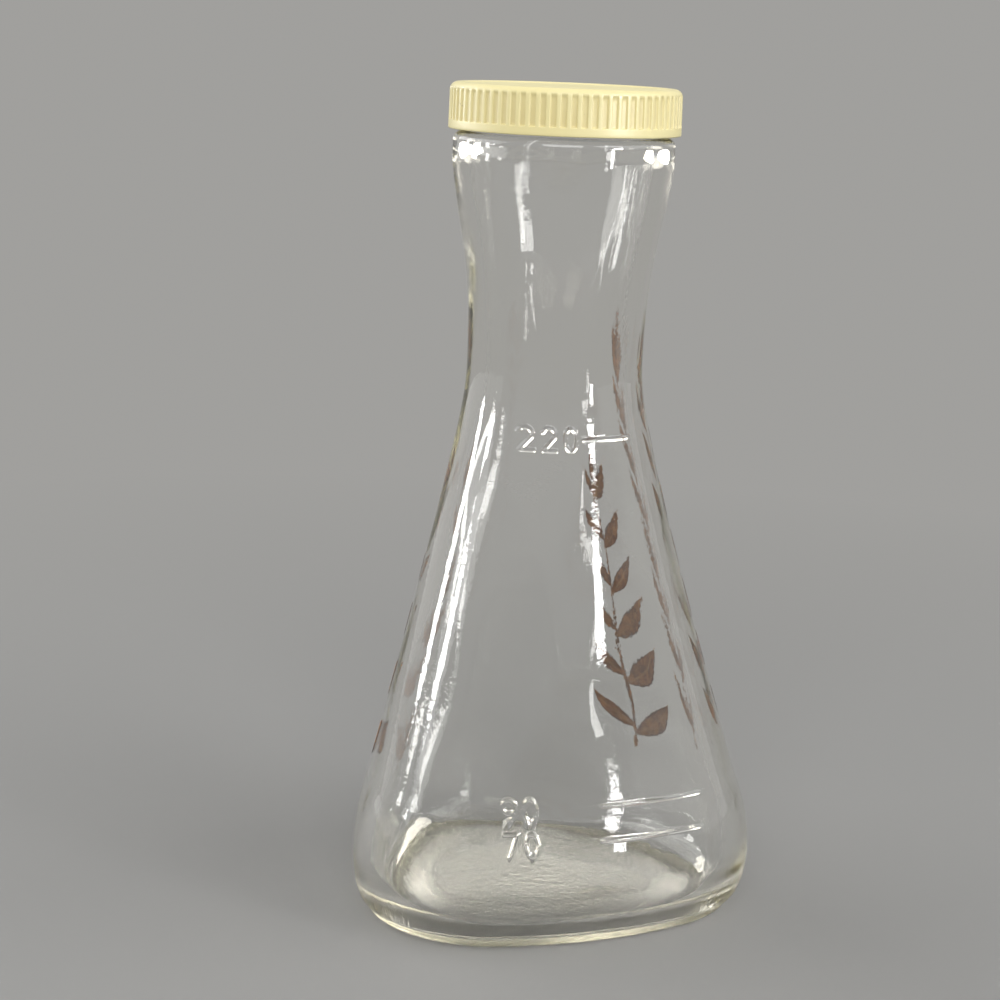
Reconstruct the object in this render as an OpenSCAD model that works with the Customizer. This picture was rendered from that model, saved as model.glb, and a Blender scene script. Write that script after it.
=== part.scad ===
/* [Glass body] */
// Height of the glass from the table to its lip
glass_h = 162.8; // [150:0.1:180]
// Nominal radius of the body at its widest level
body_r = 38.2; // [34:0.1:44]
// Distance of the three soft corners' centres from the axis, at the widest level
corner_out = 18.7; // [8:0.1:22]
// Radius of the three soft corners at the widest level
corner_r = 25.4; // [20:0.1:30]
// Radius of the three bowed sides at the widest level
side_r = 90; // [60:1:160]
// Height of the widest level above the table
belly_z = 11.2; // [8:0.1:14]
// Radius of the belly arc above the widest level
belly_r = 44; // [32:0.5:70]
// Height where the belly arc meets the tapering wall
kink_z = 26; // [22:0.2:34]
// How far the side draws in from the widest level down to the foot
heel_in = 2.8; // [1:0.1:5]
// Rounding between the side and the table
foot_r = 2.2; // [1:0.1:3]
// Diameter of the round waist
waist_d = 35.2; // [32:0.1:40]
// Height of the waist
waist_z = 110; // [98:1:118]
// Length over which the taper eases into the waist
waist_ease = 10; // [3:0.5:16]

/* [Glass neck] */
// Width of the shoulder's ledge round the finish
shoulder_w = 2.1; // [1.9:0.1:4]
// Height of the straight band between the flare and the shoulder's rounding
neck_band = 1.5; // [0.1:0.1:4]
// How late the neck flares: 1 is even, more is nearer the cap
flare_bias = 1.5; // [1:0.05:1.8]
// Rounding of the shoulder under the cap
shoulder_r = 1.8; // [1:0.1:1.8]

/* [Glass walls] */
// Wall thickness of the body, the waist and the neck
wall = 4; // [3:0.1:4.6]
// Thickness of the glass floor at its edge
floor_t = 3.4; // [2.6:0.1:7]
// How much of the push-up's rise the hollow floor follows
floor_follow = 0.9; // [0:0.1:1]
// Height of the push-up under the base
push_up = 2.6; // [1:0.1:4]
// Width of the flat ring that the bottle stands on
foot_w = 3; // [2:0.1:5]
// Height of the inner rounding between floor and wall
inner_heel_h = 13; // [6:0.5:14]
// Width of the inner rounding between floor and wall
inner_heel_w = 8; // [5:0.5:14]

/* [Mouth] */
// Outer diameter of the threaded finish, without its thread
finish_d = 39.6; // [37:0.1:44]
// Wall thickness of the finish, from its bore to its outside
finish_wall = 2.1; // [1.8:0.1:3]
// Height of the finish above the shoulder
finish_h = 7.2; // [6.6:0.1:8.6]
// Rounding of the lip
lip_r = 0.7; // [0.3:0.1:0.9]

/* [Screw cap] */
// Room for the thread between the finish and the skirt
thread_room = 1.3; // [1:0.1:1.8]
// Wall thickness of the skirt at its lower edge
cap_wall = 1.8; // [1.3:0.1:2.4]
// Gap between the shoulder and the cap's lower edge
cap_gap = 0.4; // [0.3:0.1:1.4]
// Draft of the skirt: how much smaller its radius is at the top
cap_draft = 0.1; // [0.1:0.05:0.5]
// Thickness of the cap's top
cap_top_t = 1.4; // [1.1:0.1:1.8]
// Radius of the cap's top edge
cap_edge_r = 1.1; // [0.8:0.1:1.2]
// Depth of the shallow panel in the cap's top
panel_depth = 0.3; // [0.2:0.05:0.5]
// Width of the rim round that panel
panel_rim = 2.6; // [2:0.1:4]
// Number of ribs round the skirt
rib_count = 72; // [48:1:90]
// Width of the groove between two ribs
groove_w = 1.15; // [0.7:0.05:1.3]
// Depth of a groove
groove_depth = 0.4; // [0.25:0.05:0.5]
// Height of the smooth band under the grooves
cap_band_h = 1.7; // [1.3:0.1:3]
// Distance from the cap's top to the upper end of the grooves
groove_top = 1.2; // [1.2:0.1:2.5]
// Height over which a groove fades out at its upper end
groove_fade = 1; // [0.5:0.1:3]

/* [Liner] */
// Thickness of the sealing disc
liner_t = 0.8; // [0.5:0.1:1.2]
// Gap round the disc inside the skirt
liner_gap = 0.3; // [0.2:0.05:0.6]

/* [Hidden] */

$fn = 96;
// The body has three soft corners: one at the back, two beside the front
corners = 3;
// Points round each section, and levels along each stretch of the glass
around = 48;
push_levels = 4;
foot_levels = 3;
heel_levels = 4;
belly_levels = 4;
wall_levels = 10;
neck_levels = 11;
shoulder_levels = 3;
// How far one solid reaches into the next where they are joined or cut
bite = 0.6;
// How far a cutter passes a face, so that the cut is clean
over = 1;
// The hollow under the mouth has this much more radius than the bore
under_bore = 0.35;
// Smallest level round the middle of the push-up and of the floor, as a share
dome_eye = 0.2;

shoulder_z = glass_h - finish_h;
neck_d = finish_d + 2 * shoulder_w;
bore_d = finish_d - 2 * finish_wall;
cap_bore_d = finish_d + 2 * thread_room;
cap_d = cap_bore_d + 2 * cap_wall;
cap_top_r = cap_d / 2 - cap_draft;
cap_z = shoulder_z + cap_gap;
cap_top_z = glass_h + liner_t + cap_top_t;
foot_half = body_r - heel_in - foot_r;
neck_z = shoulder_z - shoulder_r - neck_band;
cavity_top_z = shoulder_z - shoulder_r - over;
// The frame's origin is in the middle of the footprint, so the axis lies a little in front of it
axis_y = -(belly_reach(0) - belly_reach(180 / corners)) / 2;

function smooth(t) = t <= 0 ? 0 : t >= 1 ? 1 : t * t * (3 - 2 * t);
function mix(a, b, t) = a + (b - a) * t;
function clamp(t) = min(1, max(0, t));

// Nominal radius of the outside at a height, stretch by stretch above the widest level
function belly_half_at(z) = body_r - belly_r + sqrt(pow(belly_r, 2) - pow(z - belly_z, 2));
function ease(drop) = sqrt(pow(drop, 2) + pow(waist_ease, 2)) - waist_ease;
function wall_half_at(z) =
    mix(waist_d / 2, belly_half_at(kink_z), ease(waist_z - z) / ease(waist_z - kink_z));
function flare(z) = smooth(pow(clamp((z - waist_z) / (neck_z - waist_z)), flare_bias));
function neck_half_at(z) = mix(waist_d, neck_d, flare(z)) / 2;

// Nominal radius of the hollow: the wall follows the side, the neck opens to the bore
function side_half_at(z) =
    z < belly_z ? body_r : z < kink_z ? belly_half_at(z) : wall_half_at(z);
function floor_turn(z) = 1 - sqrt(1 - pow(clamp((floor_t + inner_heel_h - z) / inner_heel_h), 2));
function inner_half_at(z) =
    z < waist_z ? side_half_at(z) - wall - inner_heel_w * floor_turn(z)
    : mix(waist_d / 2 - wall, bore_d / 2 + under_bore, flare(z));

// Section of the body: three corner arcs joined by three bowed arcs, round from the waist up
function corner_share(z) = clamp((waist_z - z) / (waist_z - kink_z));
function bow_back(out, gap) = (sqrt(4 * pow(gap, 2) - 3 * pow(out, 2)) - out) / 2;
function bow_reach(off_face, back, r) =
    sqrt(pow(r, 2) - pow(back * sin(off_face), 2)) - back * cos(off_face);
function corner_reach(off_corner, out, r) =
    sqrt(pow(r, 2) - pow(out * sin(off_corner), 2)) + out * cos(off_corner);
function meet_angle(out, back, r, gap) =
    let (half_turn = 180 / corners)
        atan2(out * sin(half_turn) * (1 + r / gap),
              out * cos(half_turn) + r * (out * cos(half_turn) + back) / gap);
function reach(off_face, share) =
    let (out = corner_out * share,
         r = mix(body_r, corner_r, share),
         gap = side_r - r,
         back = bow_back(out, gap))
            off_face < meet_angle(out, back, r, gap)
                ? bow_reach(off_face, back, side_r)
                : corner_reach(180 / corners - off_face, out, r);
function belly_reach(off_corner) = reach(180 / corners - off_corner, 1);
// Angle away from the middle of the nearest side; one side faces -Y
function off_face(angle) =
    let (pitch = 360 / corners, turn = angle + 90 + pitch / 2)
        abs(turn - pitch * floor(turn / pitch) - pitch / 2);
function ring(z, half, share) = [
    for (i = [0 : around - 1])
        let (angle = 360 * i / around, r = half / body_r * reach(off_face(angle), share))
            [r * cos(angle), axis_y + r * sin(angle), z]
];

// Levels of the outside, from the middle of the push-up to the shoulder
function push_rings() = [
    for (i = [0 : push_levels])
        let (t = mix(dome_eye, 1, i / push_levels))
            ring(push_up * (1 - t * t), (foot_half - foot_w) * t, 1)
];
function foot_rings() = [
    for (i = [0 : foot_levels - 1])
        let (turn = 90 * i / foot_levels)
            ring(foot_r * (1 - cos(turn)), foot_half + foot_r * sin(turn), 1)
];
function heel_rings() = [
    for (i = [0 : heel_levels - 1])
        let (turn = 90 * i / heel_levels)
            ring(mix(belly_z, foot_r, cos(turn)), body_r - heel_in * (1 - sin(turn)), 1)
];
function belly_rings() = [
    for (i = [0 : belly_levels - 1])
        let (z = mix(belly_z, kink_z, i / belly_levels))
            ring(z, belly_half_at(z), 1)
];
function wall_rings() = [
    for (i = [0 : wall_levels - 1])
        let (z = mix(kink_z, waist_z, i / wall_levels))
            ring(z, wall_half_at(z), corner_share(z))
];
function neck_rings() = [
    for (i = [0 : neck_levels])
        let (z = mix(waist_z, shoulder_z - shoulder_r, i / neck_levels))
            ring(z, neck_half_at(z), 0)
];
function shoulder_rings() = [
    for (i = [1 : shoulder_levels])
        let (turn = 90 * i / shoulder_levels)
            ring(shoulder_z - shoulder_r * (1 - sin(turn)),
                 neck_d / 2 - shoulder_r * (1 - cos(turn)), 0)
];

// Levels of the hollow, from the middle of the floor to under the mouth
function floor_rings() = [
    for (i = [0 : push_levels - 1])
        let (t = mix(dome_eye, 1, i / push_levels))
            ring(floor_t + floor_follow * push_up * (1 - t * t), inner_half_at(floor_t) * t, 1)
];
function inner_heel_rings() = [
    for (i = [0 : heel_levels - 1])
        let (z = floor_t + inner_heel_h * (1 - cos(90 * i / heel_levels)))
            ring(z, inner_half_at(z), 1)
];
function inner_wall_rings() = [
    for (i = [0 : wall_levels - 1])
        let (z = mix(floor_t + inner_heel_h, waist_z, i / wall_levels))
            ring(z, inner_half_at(z), corner_share(z))
];
function inner_neck_rings() = [
    for (i = [0 : neck_levels])
        let (z = mix(waist_z, cavity_top_z, i / neck_levels))
            ring(z, inner_half_at(z), 0)
];

// A closed solid through a stack of rings with the same number of points
module loft(rings) {
    points = [for (r = rings) each r];
    count = len(rings[0]);
    last = (len(rings) - 1) * count;
    bottom = [for (i = [0 : count - 1]) i];
    top = [for (i = [count - 1 : -1 : 0]) last + i];
    skin = [
        for (k = [0 : len(rings) - 2])
            for (i = [0 : count - 1])
                let (a = k * count + i, b = k * count + (i + 1) % count)
                    each [[a, a + count, b], [b, a + count, b + count]]
    ];
    polyhedron(points, concat([bottom], skin, [top]), convexity = 8);
}

module on_axis() {
    translate([0, axis_y, 0]) children();
}

module glass_outside() {
    loft(concat(push_rings(), foot_rings(), heel_rings(), belly_rings(), wall_rings(),
                neck_rings(), shoulder_rings()));
}

module glass_inside() {
    loft(concat(floor_rings(), inner_heel_rings(), inner_wall_rings(), inner_neck_rings()));
}

// A square corner of an outline, rounded on its outer upper side
module rounded_top(half, height, r) {
    translate([0, height - r])
        square([half - r, r]);
    intersection() {
        translate([half - r, height - r])
            circle(r);
        translate([half - r, height - r])
            square(r);
    }
}

// The round finish that the cap screws on, with its rounded lip
module finish() {
    start_z = shoulder_z - bite;
    rotate_extrude() {
        translate([0, start_z])
            square([finish_d / 2, glass_h - lip_r - start_z]);
        rounded_top(finish_d / 2, glass_h, lip_r);
    }
}

module glass_bottle() {
    color([0.86, 0.92, 0.88, 0.45])
        difference() {
            union() {
                glass_outside();
                on_axis() finish();
            }
            glass_inside();
            on_axis()
                translate([0, 0, cavity_top_z - bite])
                    cylinder(d = bore_d, h = glass_h - cavity_top_z + bite + over);
        }
}

// Outline of half of the cap, from its axis outwards
module cap_outline() {
    edge_z = cap_top_z - cap_edge_r;
    difference() {
        union() {
            polygon([[0, cap_z], [cap_d / 2, cap_z], [cap_top_r, edge_z], [0, edge_z]]);
            rounded_top(cap_top_r, cap_top_z, cap_edge_r);
        }
        translate([-over, cap_z - over])
            square([cap_bore_d / 2 + over, glass_h + liner_t - cap_z + over]);
        translate([-over, cap_top_z - panel_depth])
            square([cap_top_r - panel_rim + over, panel_depth + over]);
    }
}

// One groove: square at its lower end, fading out under the top edge
module groove() {
    low_z = cap_z + cap_band_h;
    high_z = cap_top_z - groove_top;
    far = cap_d / 2 + over;
    rotate([90, 0, 0])
        linear_extrude(groove_w, center = true)
            polygon([
                [skirt_r(low_z) - groove_depth, low_z],
                [far, low_z],
                [far, high_z],
                [skirt_r(high_z), high_z],
                [skirt_r(high_z - groove_fade) - groove_depth, high_z - groove_fade]
            ]);
}
function skirt_r(z) =
    mix(cap_d / 2, cap_top_r, (z - cap_z) / (cap_top_z - cap_edge_r - cap_z));

module screw_cap() {
    color([0.96, 0.91, 0.72])
        on_axis()
            difference() {
                rotate_extrude() cap_outline();
                for (i = [0 : rib_count - 1])
                    rotate([0, 0, 360 * i / rib_count]) groove();
            }
}

module cap_liner() {
    color([0.93, 0.92, 0.88])
        on_axis()
            translate([0, 0, glass_h])
                cylinder(d = cap_bore_d - 2 * liner_gap, h = liner_t);
}

glass_bottle();
screw_cap();
cap_liner();
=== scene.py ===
"""Looks of the shaker bottle: clear three-cornered glass, printed sprigs and a ribbed screw cap."""

import math
import random

import bpy
import numpy as np
from mathutils import Matrix, Vector

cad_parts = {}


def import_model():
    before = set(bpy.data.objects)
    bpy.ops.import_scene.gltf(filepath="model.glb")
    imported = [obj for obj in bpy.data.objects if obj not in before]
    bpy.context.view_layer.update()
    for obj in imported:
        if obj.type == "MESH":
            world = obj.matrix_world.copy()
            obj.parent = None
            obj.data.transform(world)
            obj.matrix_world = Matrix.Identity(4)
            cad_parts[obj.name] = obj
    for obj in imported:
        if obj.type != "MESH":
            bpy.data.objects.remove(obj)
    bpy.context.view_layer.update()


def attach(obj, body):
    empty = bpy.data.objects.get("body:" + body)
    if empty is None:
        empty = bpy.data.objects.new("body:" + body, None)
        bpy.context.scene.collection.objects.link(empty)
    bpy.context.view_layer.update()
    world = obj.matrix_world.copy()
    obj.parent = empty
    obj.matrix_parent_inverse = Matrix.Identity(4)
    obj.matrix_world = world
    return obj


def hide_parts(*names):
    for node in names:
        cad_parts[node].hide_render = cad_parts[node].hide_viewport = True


MM = 0.001

# Glass body, as in the part's source
GLASS_H = 162.8 * MM
BODY_R = 38.2 * MM
CORNERS = 3
CORNER_OUT = 18.7 * MM
CORNER_R = 25.4 * MM
SIDE_R = 90 * MM
BELLY_Z = 11.2 * MM
BELLY_R = 44 * MM
KINK_Z = 26 * MM
HEEL_IN = 2.8 * MM
FOOT_R = 2.2 * MM
FOOT_W = 3 * MM
PUSH_UP = 2.6 * MM
WAIST_D = 35.2 * MM
WAIST_Z = 110 * MM
WAIST_EASE = 10 * MM
FLARE_BIAS = 1.5
NECK_BAND = 1.5 * MM
SHOULDER_W = 2.1 * MM
SHOULDER_R = 1.8 * MM
FINISH_D = 39.6 * MM
FINISH_H = 7.2 * MM
FINISH_WALL = 2.1 * MM
LIP_R = 0.7 * MM
WALL = 4 * MM
UNDER_BORE = 0.35 * MM
FLOOR_FOLLOW = 0.9

# Floor and inner heel, a little thinner and tighter than in the part's source
FLOOR_T = 2.2 * MM
INNER_HEEL_H = 10 * MM
INNER_HEEL_W = 6.5 * MM

# Screw cap and liner, as in the part's source
THREAD_ROOM = 1.3 * MM
CAP_WALL = 1.8 * MM
CAP_GAP = 0.4 * MM
CAP_DRAFT = 0.1 * MM
CAP_TOP_T = 1.4 * MM
PANEL_DEPTH = 0.3 * MM
PANEL_RIM = 2.6 * MM
RIB_COUNT = 72
GROOVE_DEPTH = 0.4 * MM
CAP_BAND_H = 1.7 * MM
GROOVE_TOP = 1.2 * MM
GROOVE_FADE = 1 * MM
LINER_T = 0.8 * MM
LINER_GAP = 0.3 * MM

# The cap's rounded edges: the top one is a little softer than in the part's source
CAP_EDGE_R = 1.5 * MM
CAP_FOOT_R = 0.22 * MM
CAP_ROOT_R = 0.5 * MM

# Thread: its start above the shoulder, its lead, and the beads on the glass and in the cap
THREAD_START = 1.25 * MM
THREAD_LEAD = 4.233 * MM
THREAD_TURNS = 1.05
THREAD_RISE = 0.95 * MM
THREAD_HALF_W = 0.95 * MM
THREAD_FADE_TURN = 0.06
BEAD_FULLNESS = 1.6
CAP_THREAD_RISE = 0.8 * MM
CAP_THREAD_HALF_W = 0.9 * MM
CAP_THREAD_FADE_H = 0.8 * MM
CAP_THREAD_ABOVE_EDGE = 0.9 * MM
CAP_THREAD_BELOW_TOP = 1.8 * MM

# Worked out from them
SHOULDER_Z = GLASS_H - FINISH_H
NECK_D = FINISH_D + 2 * SHOULDER_W
NECK_Z = SHOULDER_Z - SHOULDER_R - NECK_BAND
BORE_D = FINISH_D - 2 * FINISH_WALL
FOOT_HALF = BODY_R - HEEL_IN - FOOT_R
THREAD_Z = SHOULDER_Z + THREAD_START
CAP_BORE_R = FINISH_D / 2 + THREAD_ROOM
CAP_R = CAP_BORE_R + CAP_WALL
CAP_TOP_R = CAP_R - CAP_DRAFT
CAP_Z = SHOULDER_Z + CAP_GAP
LINER_TOP_Z = GLASS_H + LINER_T
CAP_TOP_Z = LINER_TOP_Z + CAP_TOP_T
CAP_EDGE_Z = CAP_TOP_Z - CAP_EDGE_R

# Raised marks on the front: a level line with a plain number on its left, in millilitres
MARK_RISE = 0.5 * MM
MARK_HALF_W = 0.45 * MM
MARK_FULLNESS = 1.25
DIGIT_H = 4.3 * MM
DIGIT_PITCH = 4.0 * MM
LEVEL_MARKS = [
    {"z": 97.8 * MM, "line": (-1.6 * MM, 8.4 * MM), "number": "220", "number_x": -13.5 * MM},
    {"z": 28.2 * MM, "line": (-1.2 * MM, 21.6 * MM), "number": "90", "number_x": -21 * MM},
    {"z": 21.8 * MM, "line": (-1.2 * MM, 21.4 * MM), "number": "70", "number_x": -21 * MM},
]

# The photograph's camera: it stands 18.8 inches away, 7 inches up and looks down by 11.4 degrees
CAMERA_YAW = math.radians(23.1)
CAMERA_PITCH = 0.1984
CAMERA_ROLL = math.radians(2.24)
CAMERA_DISTANCE = 478.0 * MM
CAMERA_HEIGHT = 177.8 * MM
CAMERA_ASIDE = 9.86 * MM
CAMERA_LENS = 86.64
CAMERA_SENSOR_W = 36


def mix(a, b, t):
    return a + (b - a) * t


def smooth(t):
    t = np.clip(t, 0.0, 1.0)
    return t * t * (3 - 2 * t)


def quarter(steps, first=0):
    """Turns of a quarter round, in radians."""
    return [math.pi / 2 * i / steps for i in range(first, steps + 1)]


# Outside of the glass

def belly_half(z):
    return BODY_R - BELLY_R + np.sqrt(BELLY_R**2 - (z - BELLY_Z) ** 2)


def ease(drop):
    return np.sqrt(drop**2 + WAIST_EASE**2) - WAIST_EASE


def wall_half(z):
    return mix(WAIST_D / 2, belly_half(KINK_Z), ease(WAIST_Z - z) / ease(WAIST_Z - KINK_Z))


def flare(z):
    """Share of the way from the waist's width to the neck's."""
    return smooth(np.clip((z - WAIST_Z) / (NECK_Z - WAIST_Z), 0, 1) ** FLARE_BIAS)


def side_half(z):
    """Nominal radius of the outside between the widest level and the shoulder."""
    return np.where(
        z < KINK_Z,
        belly_half(np.clip(z, BELLY_Z, KINK_Z)),
        np.where(z < WAIST_Z, wall_half(np.minimum(z, WAIST_Z)), mix(WAIST_D, NECK_D, flare(z)) / 2),
    )


def corner_share(z):
    """How three-cornered the section is: 1 up to the kink, 0 from the waist on."""
    return np.clip((WAIST_Z - z) / (WAIST_Z - KINK_Z), 0, 1)


def off_face(angle):
    """Angle away from the middle of the nearest side; one side faces -Y."""
    pitch = 2 * math.pi / CORNERS
    turn = angle + math.pi / 2 + pitch / 2
    return np.abs(turn - pitch * np.floor(turn / pitch) - pitch / 2)


def reach(angle, share):
    """Radius of the body's section: three corner arcs joined by three bowed arcs."""
    off = off_face(angle)
    half_turn = math.pi / CORNERS
    out = CORNER_OUT * share
    r = mix(BODY_R, CORNER_R, share)
    gap = SIDE_R - r
    back = (np.sqrt(4 * gap**2 - 3 * out**2) - out) / 2
    meet = np.arctan2(
        out * math.sin(half_turn) * (1 + r / gap),
        out * math.cos(half_turn) + r * (out * math.cos(half_turn) + back) / gap,
    )
    bow = np.sqrt(SIDE_R**2 - (back * np.sin(off)) ** 2) - back * np.cos(off)
    beside = half_turn - off
    corner = np.sqrt(r**2 - (out * np.sin(beside)) ** 2) + out * np.cos(beside)
    return np.where(off < meet, bow, corner)


def outer_radius(angle, z):
    return side_half(z) / BODY_R * reach(angle, corner_share(z))


# The axis of waist, neck and cap, beside the middle of the footprint's box
AXIS_Y = float(reach(np.array(-math.pi / 2), 1) - reach(np.array(-math.pi / 6), 1)) / 2


# Raised marks

def arc(cx, cz, rx, rz, start, end, steps=14):
    turns = [math.radians(mix(start, end, i / steps)) for i in range(steps + 1)]
    return [(cx + rx * math.cos(t), cz + rz * math.sin(t)) for t in turns]


# Strokes of each plain digit, in a box 0.6 wide and 1 high
DIGITS = {
    "0": [arc(0.3, 0.5, 0.27, 0.5, 0, 360, 24)],
    "2": [arc(0.3, 0.73, 0.26, 0.27, 165, -35) + [(0.03, 0.0), (0.58, 0.0)]],
    "7": [[(0.02, 1.0), (0.58, 1.0), (0.2, 0.0)]],
    "9": [arc(0.3, 0.7, 0.27, 0.3, 0, 360, 20), arc(-0.02, 0.66, 0.59, 0.66, 0, -75, 8)],
}


def mark_strokes():
    """Every raised stroke as its two ends, in x and z on the front side."""
    strokes = []
    for mark in LEVEL_MARKS:
        low = mark["z"] - DIGIT_H / 2
        strokes.append(((mark["line"][0], mark["z"]), (mark["line"][1], mark["z"])))
        for place, digit in enumerate(mark["number"]):
            start_x = mark["number_x"] + place * DIGIT_PITCH
            for path in DIGITS[digit]:
                points = [(start_x + x * DIGIT_H, low + z * DIGIT_H) for x, z in path]
                strokes += zip(points, points[1:])
    return strokes


STROKES = mark_strokes()
NO_LENGTH = 1e-18


def mark_rise(x, z):
    """Height of the raised marks at points x of the front side, at one height z."""
    rise = np.zeros_like(x)
    for (ax, az), (bx, bz) in STROKES:
        if min(az, bz) - MARK_HALF_W > z or max(az, bz) + MARK_HALF_W < z:
            continue
        dx, dz = bx - ax, bz - az
        t = np.clip(((x - ax) * dx + (z - az) * dz) / (dx * dx + dz * dz + NO_LENGTH), 0, 1)
        gap = np.hypot(x - ax - t * dx, z - az - t * dz)
        rise = np.maximum(rise, MARK_RISE * smooth(MARK_FULLNESS * (1 - gap / MARK_HALF_W)))
    return rise


# Columns and levels of the glass mesh, in degrees and in metres: fine where the marks are

COARSE_TURN = 1.5
FINE_TURN = 0.34
FINE_FROM, FINE_TO = -130, -93
COARSE_STEP = 1.6 * MM
FINE_STEP = 0.23 * MM
FINE_MARGIN = 1 * MM


def column_angles():
    fine = np.arange(FINE_FROM, FINE_TO, FINE_TURN)
    coarse = np.arange(FINE_TO, FINE_FROM + 360, COARSE_TURN)
    return np.radians(np.concatenate([fine, coarse]))


def in_fine_band(z):
    reach_z = DIGIT_H / 2 + FINE_MARGIN
    return any(abs(z - mark["z"]) < reach_z for mark in LEVEL_MARKS)


def levels(low, high):
    z, found = low, []
    while z < high - 1e-6:
        found.append(z)
        z += FINE_STEP if in_fine_band(z + FINE_STEP) else COARSE_STEP
    return found


ANGLES = column_angles()


def ring(radius, z, angles=ANGLES):
    """Points round the axis at one level; the radius may change from point to point."""
    radius = np.broadcast_to(radius, angles.shape)
    return np.stack(
        [radius * np.cos(angles), AXIS_Y + radius * np.sin(angles), np.broadcast_to(z, angles.shape)],
        axis=1,
    )


def body_ring(half, z, share=1):
    """A ring with the body's section, from its nominal radius."""
    return ring(half / BODY_R * reach(ANGLES, share), z)


def waves(seed, count, turns, length):
    """A few seeded waves that run round and along the glass, as heights from -1 to 1."""
    rng = random.Random(seed)
    parts = [
        (rng.choice(turns), rng.uniform(-1, 1) * 2 * math.pi / length, rng.uniform(0, 2 * math.pi))
        for _ in range(count)
    ]
    return lambda z: sum(np.cos(m * ANGLES + k * z + p) for m, k, p in parts) / count


# Faint waves of the glass: their height, and how far from a rim they have settled
INSIDE_WAVE = waves(3, 12, (1, 2, 3, 4, 5, 7, 9), 34 * MM)
INSIDE_WAVE_RISE = 0.45 * MM
INSIDE_SETTLE = 12 * MM
OUTSIDE_WAVE = waves(8, 7, (2, 3, 5, 8), 45 * MM)
OUTSIDE_WAVE_RISE = 0.05 * MM
OUTSIDE_SETTLE = 8 * MM

# Rings along each stretch of the glass
PUSH_RINGS = 14
FOOT_RINGS = 8
HEEL_RINGS = 9
SHOULDER_RINGS = 6
ROOT_RINGS = 3
LIP_RINGS = 5
LIP_INSIDE_RINGS = 4
BORE_RINGS = 4
INNER_HEEL_RINGS = 14
FLOOR_RINGS = 12
FINISH_STEP = 0.2 * MM
HOLLOW_STEP = 1.5 * MM
BORE_BLEND = 3 * MM
BORE_END = 1 * MM

# The front, which carries the marks, ends at this sine of the turn
FRONT_LIMIT = -0.45


def base_rings():
    """Push-up, foot and heel, from the middle outwards and up."""
    rings = []
    for i in range(1, PUSH_RINGS + 1):
        t = i / PUSH_RINGS
        rings.append(body_ring((FOOT_HALF - FOOT_W) * t, PUSH_UP * (1 - t * t)))
    for turn in quarter(FOOT_RINGS):
        half = FOOT_HALF + FOOT_R * math.sin(turn)
        rings.append(body_ring(half, FOOT_R * (1 - math.cos(turn))))
    for turn in quarter(HEEL_RINGS, 1):
        half = BODY_R - HEEL_IN * (1 - math.sin(turn))
        rings.append(body_ring(half, mix(BELLY_Z, FOOT_R, math.cos(turn))))
    return rings


def side_rings():
    """Body, waist and neck, with the raised marks and a faint waviness."""
    rings = []
    front = np.sin(ANGLES) < FRONT_LIMIT
    for z in levels(BELLY_Z, SHOULDER_Z - SHOULDER_R)[1:]:
        settle = smooth((z - BELLY_Z) / OUTSIDE_SETTLE) * smooth((SHOULDER_Z - z) / OUTSIDE_SETTLE)
        radius = outer_radius(ANGLES, z) + OUTSIDE_WAVE_RISE * settle * OUTSIDE_WAVE(z)
        radius = radius + np.where(front, mark_rise(radius * np.cos(ANGLES), z), 0)
        rings.append(ring(radius, z))
    return rings


def bead(z, centre, half_w):
    """Share of a thread's height at level z."""
    return smooth(BEAD_FULLNESS * (1 - np.abs(z - centre) / half_w))


def thread_rise(z):
    """Height of the right-handed thread at one level, round all the columns."""
    found = np.zeros_like(ANGLES)
    for lap in range(int(THREAD_TURNS) + 2):
        run = (ANGLES - ANGLES[0]) / (2 * math.pi) + lap
        centre = THREAD_Z + THREAD_LEAD * run
        ends = smooth(run / THREAD_FADE_TURN) * smooth((THREAD_TURNS - run) / THREAD_FADE_TURN)
        found = np.maximum(found, THREAD_RISE * ends * bead(z, centre, THREAD_HALF_W))
    return found


def finish_rings():
    """Shoulder, threaded finish and lip."""
    rings = []
    finish_r = FINISH_D / 2
    for turn in quarter(SHOULDER_RINGS):
        radius = NECK_D / 2 - SHOULDER_R * (1 - math.cos(turn))
        rings.append(ring(radius, SHOULDER_Z - SHOULDER_R * (1 - math.sin(turn))))
    root = NECK_D / 2 - SHOULDER_R - finish_r
    for turn in quarter(ROOT_RINGS, 1):
        radius = finish_r + root * (1 - math.sin(turn))
        rings.append(ring(radius, SHOULDER_Z + root * (1 - math.cos(turn))))
    z = SHOULDER_Z + root + FINISH_STEP
    while z < GLASS_H - LIP_R:
        rings.append(ring(finish_r + thread_rise(z), z))
        z += FINISH_STEP
    for turn in quarter(LIP_RINGS):
        radius = finish_r - LIP_R * (1 - math.cos(turn))
        rings.append(ring(radius, GLASS_H - LIP_R * (1 - math.sin(turn))))
    for turn in quarter(LIP_INSIDE_RINGS):
        radius = BORE_D / 2 + LIP_R * (1 - math.sin(turn))
        rings.append(ring(radius, GLASS_H - LIP_R * (1 - math.cos(turn))))
    return rings


def inner_half(z):
    """Nominal radius of the hollow under the mouth."""
    turn = np.clip((FLOOR_T + INNER_HEEL_H - z) / INNER_HEEL_H, 0, 1)
    side = np.where(z < BELLY_Z, BODY_R, side_half(z))
    body = side - WALL - INNER_HEEL_W * (1 - np.sqrt(1 - turn**2))
    return np.where(z < WAIST_Z, body, mix(WAIST_D / 2 - WALL, BORE_D / 2 + UNDER_BORE, flare(z)))


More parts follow.
